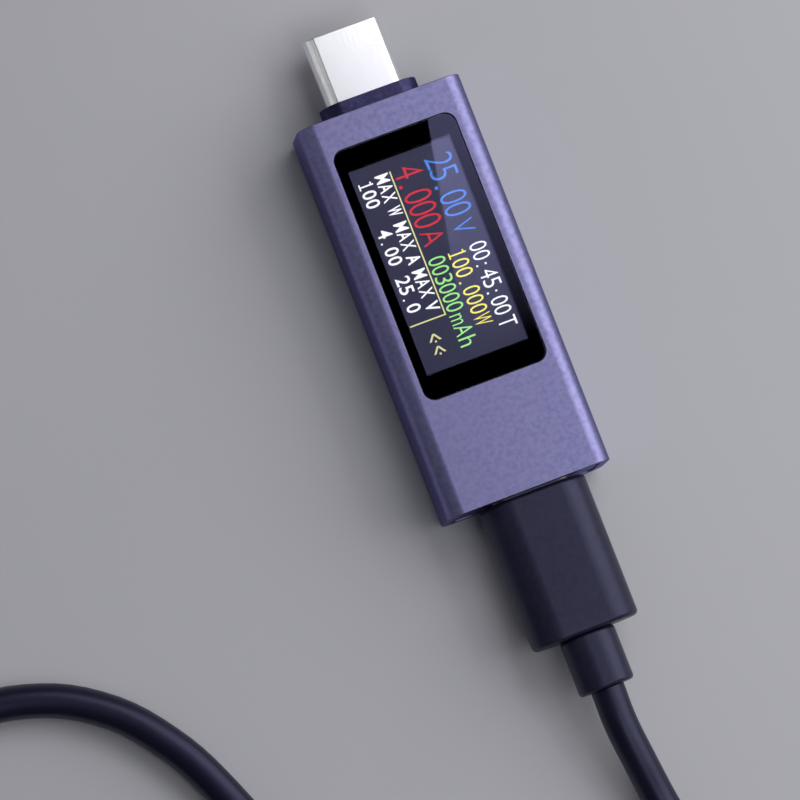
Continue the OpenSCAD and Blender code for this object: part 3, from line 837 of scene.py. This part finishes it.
def slab(bm, along, across, long, wide, low, thick):
    """Adds a thin plate. Its place and outline are in dots, its height in millimetres."""
    middle = Vector((grid_start_x - (across + wide / 2) * DOT,
                     grid_start_y - (along + long / 2) * DOT, low + thick / 2)) * MM
    size = Vector((wide * DOT, long * DOT, thick)) * MM
    place = Matrix.Translation(middle) @ Matrix.Diagonal(size).to_4x4()
    bmesh.ops.create_cube(bm, size=1.0, matrix=place)


bm = bmesh.new()
slab(bm, along=0, across=0, long=DOTS_ALONG, wide=DOTS_ACROSS, low=ground_z, thick=GROUND_T)
finish_piece(bm, "display_ground", "meter", GROUND)
print("display starts at mm", round(grid_start_x, 2), round(grid_start_y, 2))

# %% [markdown]
# Letters and figures come from Blender's own font. A text is a curve, so it becomes a closed mesh
# like the lead did, and is then stretched to fill its own box on the grid. The curve's offset
# makes the strokes a little thinner or thicker.

# %% Signs
THIN = -0.006
LARGE_THIN = -0.014
SIGN_STEPS = 3
HALF = 0.5


def sign_mesh(sign, weight):
    """A closed mesh of one sign, as wide and tall as the font makes it."""
    curve = bpy.data.curves.new("sign", "FONT")
    curve.body = sign
    curve.extrude = HALF
    curve.offset = weight
    curve.resolution_u = SIGN_STEPS
    return mesh_of(curve)


def put_sign(bm, sign, along, across, wide, tall, weight=THIN):
    """Fits a sign to a box on the display, given in dots, with its top towards +X."""
    mesh = sign_mesh(sign, weight)
    xs = [v.co.x for v in mesh.vertices]
    ys = [v.co.y for v in mesh.vertices]
    fit = Matrix.Diagonal((wide * DOT / (max(xs) - min(xs)),
                           tall * DOT / (max(ys) - min(ys)), SIGN_T, 1.0))
    start = Matrix.Translation((-min(xs), -min(ys), HALF))
    quarter = Matrix.Rotation(-math.pi / 2, 4, "Z")
    corner = Matrix.Translation((grid_start_x - (across + tall) * DOT,
                                 grid_start_y - along * DOT, sign_z))
    mesh.transform(Matrix.Scale(MM, 4) @ corner @ quarter @ fit @ start)
    bm.from_mesh(mesh)
    bpy.data.meshes.remove(mesh)


print("sign strokes", THIN, "and", LARGE_THIN)

# %% [markdown]
# Some signs are better built from plates. Stretched to a full cell, the font's 1 turns into a fat
# bar, so it is drawn here with a stem, a flag and a foot. A point is one small square, and a
# colon is two. Each place inside a sign is a share of its cell.

# %% Signs made of plates
STROKE = 1.1
FLAG_START, FLAG_LONG, FLAG_DROP = 0.15, 0.27, 0.12
STEM_START = 0.42
FOOT_START, FOOT_LONG = 0.12, 0.76
POINT_START, POINT_SHARE, POINT_LEAST = 0.3, 0.11, 1.4
COLON_DROP = 0.4


def mark(bm, along, across, long, wide):
    """A bar or a dot that is level with the signs."""
    slab(bm, along, across, long, wide, sign_z, SIGN_T)


def put_one(bm, along, across, wide, tall):
    """A figure one with a stem, a flag and a foot."""
    mark(bm, along + STEM_START * wide, across, STROKE, tall)
    mark(bm, along + FLAG_START * wide, across + FLAG_DROP * tall, FLAG_LONG * wide, STROKE)
    mark(bm, along + FOOT_START * wide, across + tall - STROKE, FOOT_LONG * wide, STROKE)


def put_point(bm, along, across, wide, tall, double):
    """A point at the foot of its cell. A double one is a colon."""
    side = max(POINT_LEAST, tall * POINT_SHARE)
    start = along + POINT_START * wide
    mark(bm, start, across + tall - side, side, side)
    if double:
        mark(bm, start, across + tall * COLON_DROP, side, side)


print("strokes of the figure one are", STROKE, "dots wide")

# %% [markdown]
# A reading is a row of figures in equal cells, with its unit behind it. One function sets a row,
# and each reading then says only what it shows and where. All the signs of a reading are one
# piece, because they never move apart.

# %% Rows of signs
def put_row(bm, row, along, across, pitch, wide, tall, weight=THIN):
    """Sets a row of figures in cells that are a pitch apart."""
    for sign in row:
        if sign in ".:":
            put_point(bm, along, across, wide, tall, double=sign == ":")
        elif sign == "1":
            put_one(bm, along, across, wide, tall)
        else:
            put_sign(bm, sign, along, across, wide, tall, weight)
        along += pitch


def lit_piece(name, material, build):
    """One lit piece of the display. build puts its signs in a bmesh."""
    bm = bmesh.new()
    build(bm)
    piece = finish_piece(bm, name, "meter", material)
    print(name, "faces", len(piece.data.polygons))


def volts(bm):
    put_row(bm, "25.00", along=10, across=3, pitch=9.6, wide=8.8, tall=21, weight=LARGE_THIN)
    put_sign(bm, "V", along=61.5, across=6.5, wide=9.5, tall=16, weight=LARGE_THIN)


def amps(bm):
    put_row(bm, "4.000", along=10, across=27, pitch=9.7, wide=8.8, tall=21.5,
            weight=LARGE_THIN)
    put_sign(bm, "A", along=60.3, across=30.5, wide=11, tall=16.5, weight=LARGE_THIN)


lit_piece("reading_volts", BLUE, volts)
lit_piece("reading_amps", RED, amps)

# %% [markdown]
# The three small readings stand one under another beyond the large ones: running time, power and
# charge. They share a cell height, so that they line up.

# %% Small readings
SMALL_TALL = 13.5
SMALL_PITCH = 7.2


def clock(bm):
    put_row(bm, "00:45:00", along=80.5, across=3, pitch=SMALL_PITCH, wide=6.3, tall=SMALL_TALL)
    put_sign(bm, "T", along=139.8, across=3, wide=7.4, tall=SMALL_TALL)


def watts(bm):
    put_row(bm, "100.000", along=80.8, across=19.5, pitch=SMALL_PITCH, wide=6.2,
            tall=SMALL_TALL)
    put_sign(bm, "W", along=131.5, across=19.5, wide=8, tall=SMALL_TALL)


def charge(bm):
    put_row(bm, "003000", along=80.5, across=35.5, pitch=SMALL_PITCH, wide=6.3,
            tall=SMALL_TALL)
    put_sign(bm, "m", along=125.3, across=40, wide=7.6, tall=9)
    put_sign(bm, "A", along=134, across=35.5, wide=7.8, tall=SMALL_TALL)
    put_sign(bm, "h", along=143.5, across=35.5, wide=6.4, tall=SMALL_TALL)


lit_piece("reading_time", PURE, clock)
lit_piece("reading_watts", YELLOW, watts)
lit_piece("reading_charge", GREEN, charge)

# %% [markdown]
# Below the large readings lie three stored values, each under a short label. Their strokes are
# thicker, so that small signs stay easy to read. A loop sets the three, because only the start,
# the unit and the figures differ.

# %% Stored values
STORED = ((9.5, "W", "100"), (47.5, "A", "4.00"), (84.8, "V", "25.0"))
STORED_LABEL = "MAX"
THICK = 0.012
LABEL_ACROSS, LABEL_PITCH, LABEL_WIDE, LABEL_TALL = 52.6, 7.4, 6.4, 10.4
UNIT_GAP, UNIT_WIDE = 25.5, 6.8
VALUE_GAP, VALUE_ACROSS, VALUE_PITCH, VALUE_WIDE, VALUE_TALL = 1, 65.5, 7.1, 6.2, 11


def stored_labels(bm):
    for start, unit, _ in STORED:
        put_row(bm, STORED_LABEL, start, LABEL_ACROSS, LABEL_PITCH, LABEL_WIDE, LABEL_TALL,
                THICK)
        put_sign(bm, unit, start + UNIT_GAP, LABEL_ACROSS, UNIT_WIDE, LABEL_TALL, 2 * THICK)


def stored_values(bm):
    for start, _, value in STORED:
        put_row(bm, value, start + VALUE_GAP, VALUE_ACROSS, VALUE_PITCH, VALUE_WIDE,
                VALUE_TALL, THICK)


lit_piece("stored_labels", PURE, stored_labels)
lit_piece("stored_values", PURE, stored_values)

# %% [markdown]
# A thin line divides the readings from the stored values and turns down at its end. Two arrow
# marks follow beyond it. The line is two plates, and each arrow is a sign with a dot inside.

# %% Divider and arrow marks
LINE = 1
LINE_START, LINE_ACROSS, LINE_LONG, LINE_DROP = 9.5, 50.3, 113.5, 27.3
ARROW_STARTS = (133, 142.5)
ARROW_DOT = 1.4


def divider(bm):
    mark(bm, LINE_START, LINE_ACROSS, LINE_LONG, LINE)
    mark(bm, LINE_START + LINE_LONG - LINE, LINE_ACROSS + LINE, LINE, LINE_DROP)


def arrow_marks(bm):
    for start in ARROW_STARTS:
        put_sign(bm, "<", along=start, across=59.8, wide=5.4, tall=9.6, weight=0.0)
        mark(bm, along=start + 5.2, across=63.9, long=ARROW_DOT, wide=ARROW_DOT)


lit_piece("display_divider", LEMON, divider)
lit_piece("arrow_marks", LEMON, arrow_marks)

# %% [markdown]
# ## Everything else
# The pieces inside keep the frame's own meshes and only take a finish. They are plain blocks and
# strips that nobody sees until the case is opened, so soft edges would only add faces. The tube
# of the lead takes its rubber here too.

# %% Finishes for the frame's own pieces
FINISH_OF = {
    "glass_border": INK, "window_tape": FOAM, "lcd_panel": PANEL, "lcd_backlight": WHITE,
    "lcd_frame": WHITE, "lcd_flex": FILM, "main_board": BOARD, "insulating_tray": BLACK,
    "shunt_resistor": CHIP, "microcontroller": CHIP, "sense_amplifier": CHIP,
    "voltage_regulator": CHIP, "memory_chip": CHIP, "ceramic_capacitors": CERAMIC,
    "chip_resistors": CHIP, "switch_body": BLACK, "switch_dome": SPRING,
    "plug_insulator": BLACK, "plug_contacts": GOLD, "plug_latch_springs": SPRING,
    "socket_housing": BLACK, "socket_contacts": GOLD, "socket_mid_plate": SPRING,
    "switch_plunger": IVORY, "lead_plug_insulator": BLACK, "lead_plug_contacts": GOLD,
    "lead_plug_latch_springs": SPRING, "lead_plug_board": BOARD, "marker_chip": CHIP,
    "far_plug_insulator": BLACK, "far_plug_contacts": GOLD,
}
for node_name, material in FINISH_OF.items():
    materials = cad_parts[node_name].data.materials
    materials.clear()
    materials.append(material)
lead_mesh.materials.append(RUBBER)
print("frame pieces finished", len(FINISH_OF))

# %% [markdown]

# %% [markdown]
# ## Table
# The meter lies on a plain pale table. A single large square is enough, since its far edge never
# shows. Flat grey looks like paper, so the paint is slightly mottled and has the faint relief of
# orange peel. The table lies a hair under the object, so that the two never touch.

# %% Table top
TABLE_HALF = 1.5
TABLE_GAP = 0.02
table_mesh = bpy.data.meshes.new("table_top")
bm = bmesh.new()
bmesh.ops.create_grid(bm, x_segments=1, y_segments=1, size=TABLE_HALF)
bm.to_mesh(table_mesh)
bm.free()
table_paint, tree, shader = new_material("pale_table")
peel = effect(tree, "grain", {"Size mm": 1.2, "Contrast": 1.0})
mottle = effect(tree, "smudge", {"Size mm": 60.0, "Sharpness": 1.0})
tree.links.new(blend_colour(tree, mottle["Mask"], (0.56, 0.56, 0.6, 1), (0.6, 0.6, 0.64, 1)),
               shader.inputs["Base Color"])
shader.inputs["Roughness"].default_value = 0.8
bump(tree, shader, peel["Value"], strength=0.1, depth_mm=0.02)
table_mesh.materials.append(table_paint)
table_top = link(bpy.data.objects.new("table_top", table_mesh))
table_top.location.z = -TABLE_GAP * MM
print("table", 2 * TABLE_HALF, "m square")

# %% [markdown]
# ## Soft light
# Metal shows whatever it mirrors, so the places of the lamps matter more than their power. Large
# level panels over the table give the broad shine, and lamps that face the meter draw bright
# lines on its rounded edges. A lamp's power spreads over its area, so these helpers work it out
# from a brightness instead: a panel can then change size and look just as bright.

# %% Kinds of lamp
CEILING = 0.3


def lamp(name, wide, tall, radiance):
    """A rectangular soft lamp of a given brightness, its size in metres."""
    data = bpy.data.lights.new(name, "AREA")
    data.shape = "RECTANGLE"
    data.size = wide
    data.size_y = tall
    data.energy = radiance * math.pi * wide * tall
    print(name, "gives", round(data.energy, 3), "W")
    return link(bpy.data.objects.new(name, data))


def panel_over(name, low, high, radiance):
    """A level panel that faces down, given by two corners in millimetres."""
    panel = lamp(name, (high[0] - low[0]) * MM, (high[1] - low[1]) * MM, radiance)
    panel.location = ((low[0] + high[0]) / 2 * MM, (low[1] + high[1]) / 2 * MM, CEILING)


def lamp_facing(name, place, wide, tall, radiance):
    """A lamp that stands at a place, in metres, and faces the meter."""
    source = lamp(name, wide, tall, radiance)
    turn = Vector(place).to_track_quat("Z", "Y").to_matrix().to_4x4()
    source.matrix_world = Matrix.Translation(place) @ turn


print("panels hang", CEILING, "m over the table")

# %% [markdown]
# The steel plug mirrors the panel at the back, and the case takes a broad blur of them all. The
# gap between the panels is over the glass: it mirrors a small patch of the ceiling, which has to
# stay dark for the display to read. The side lamp draws the bright line along the right edge, and
# the narrow strip lifts the left side a little.

# %% Lamps
panel_over("back_panel", (39, 62), (220, 260), radiance=2.0)
panel_over("right_panel", (68, -220), (300, 60), radiance=1.25)
panel_over("near_panel", (-22, -300), (68, -70), radiance=1.8)
panel_over("left_back_panel", (-300, 66), (-26, 90), radiance=1.15)
lamp_facing("left_strip", (-0.3, 0.08, 0.155), wide=0.028, tall=0.29, radiance=1.3)
lamp_facing("side_lamp", (0.5, 0.02, 0.3), wide=0.7, tall=0.45, radiance=1.9)

# %% [markdown]
# ## The card that the glass mirrors
# One bluish card hangs over the glass, in the gap between the panels. A lamp would give an even
# glare, but this one has a slanted left edge that crosses the display and a light that fades
# towards the socket end, so it is a glowing sheet whose shader draws both.

# %% Light of the card
CARD_COLOUR = (0.5, 0.5, 1.0, 1)
CARD_POWER = 2.4
FADE_FROM, FADE_TO = 18, 52
EDGE_X, EDGE_Y = 48.7, 34.8
EDGE_SLOPE = 0.2


def card_light():
    """Light to the right of a slanted line, brightest at the back. Places are in millimetres."""
    material, tree, shader = new_material("card_light")
    tree.nodes.remove(shader)
    place = add(tree, "ShaderNodeSeparateXYZ", {"Vector": object_place(tree)}).outputs
    fade = add(tree, "ShaderNodeMapRange", {
        "Value": place["Y"], "From Min": FADE_FROM * MM, "From Max": FADE_TO * MM,
        "To Min": 0.0, "To Max": CARD_POWER}).outputs["Result"]
    ahead = math_node(tree, "SUBTRACT", place["Y"], EDGE_Y * MM)
    shift = math_node(tree, "MULTIPLY", ahead, EDGE_SLOPE)
    line = math_node(tree, "ADD", shift, EDGE_X * MM)
    lit = math_node(tree, "GREATER_THAN", place["X"], line)
    glow = add(tree, "ShaderNodeEmission", {
        "Color": CARD_COLOUR, "Strength": math_node(tree, "MULTIPLY", fade, lit)})
    tree.links.new(glow.outputs[0], tree.nodes["Material Output"].inputs["Surface"])
    return material


card_glow = card_light()
told(card_glow)

# %% [markdown]
# The card itself is a single square face, stretched to its size and moved to its place just
# under the panels. It belongs to the room and not to the meter, like the table.

# %% The card
CARD_LOW = Vector((33, 8)) * MM
CARD_HIGH = Vector((67, 61)) * MM
card_size = CARD_HIGH - CARD_LOW
card_middle = (CARD_LOW + CARD_HIGH) / 2
card_mesh = bpy.data.meshes.new("card")
bm = bmesh.new()
bmesh.ops.create_grid(bm, x_segments=1, y_segments=1, size=0.5)
bm.transform(Matrix.Translation((card_middle.x, card_middle.y, CEILING - MM))
             @ Matrix.Diagonal((card_size.x, card_size.y, 1, 1)))
bm.to_mesh(card_mesh)
bm.free()
card_mesh.materials.append(card_glow)
card = link(bpy.data.objects.new("card", card_mesh))
print("card in mm", [round(v / MM) for v in card_size])

# %% [markdown]
# ## The room
# A little even light from all round stands for the walls, so that no shadow is quite black. The
# plain view transform shows the colours as they are, without a film-like curve.

# %% Room
ROOM_COLOUR = (0.85, 0.88, 1, 1)
ROOM_LIGHT = 0.08
world = bpy.data.worlds.new("studio")
world.use_nodes = True
background = world.node_tree.nodes["Background"]
background.inputs["Color"].default_value = ROOM_COLOUR
background.inputs["Strength"].default_value = ROOM_LIGHT
bpy.context.scene.world = world
bpy.context.scene.view_settings.view_transform = "Standard"
print("room light", ROOM_LIGHT)
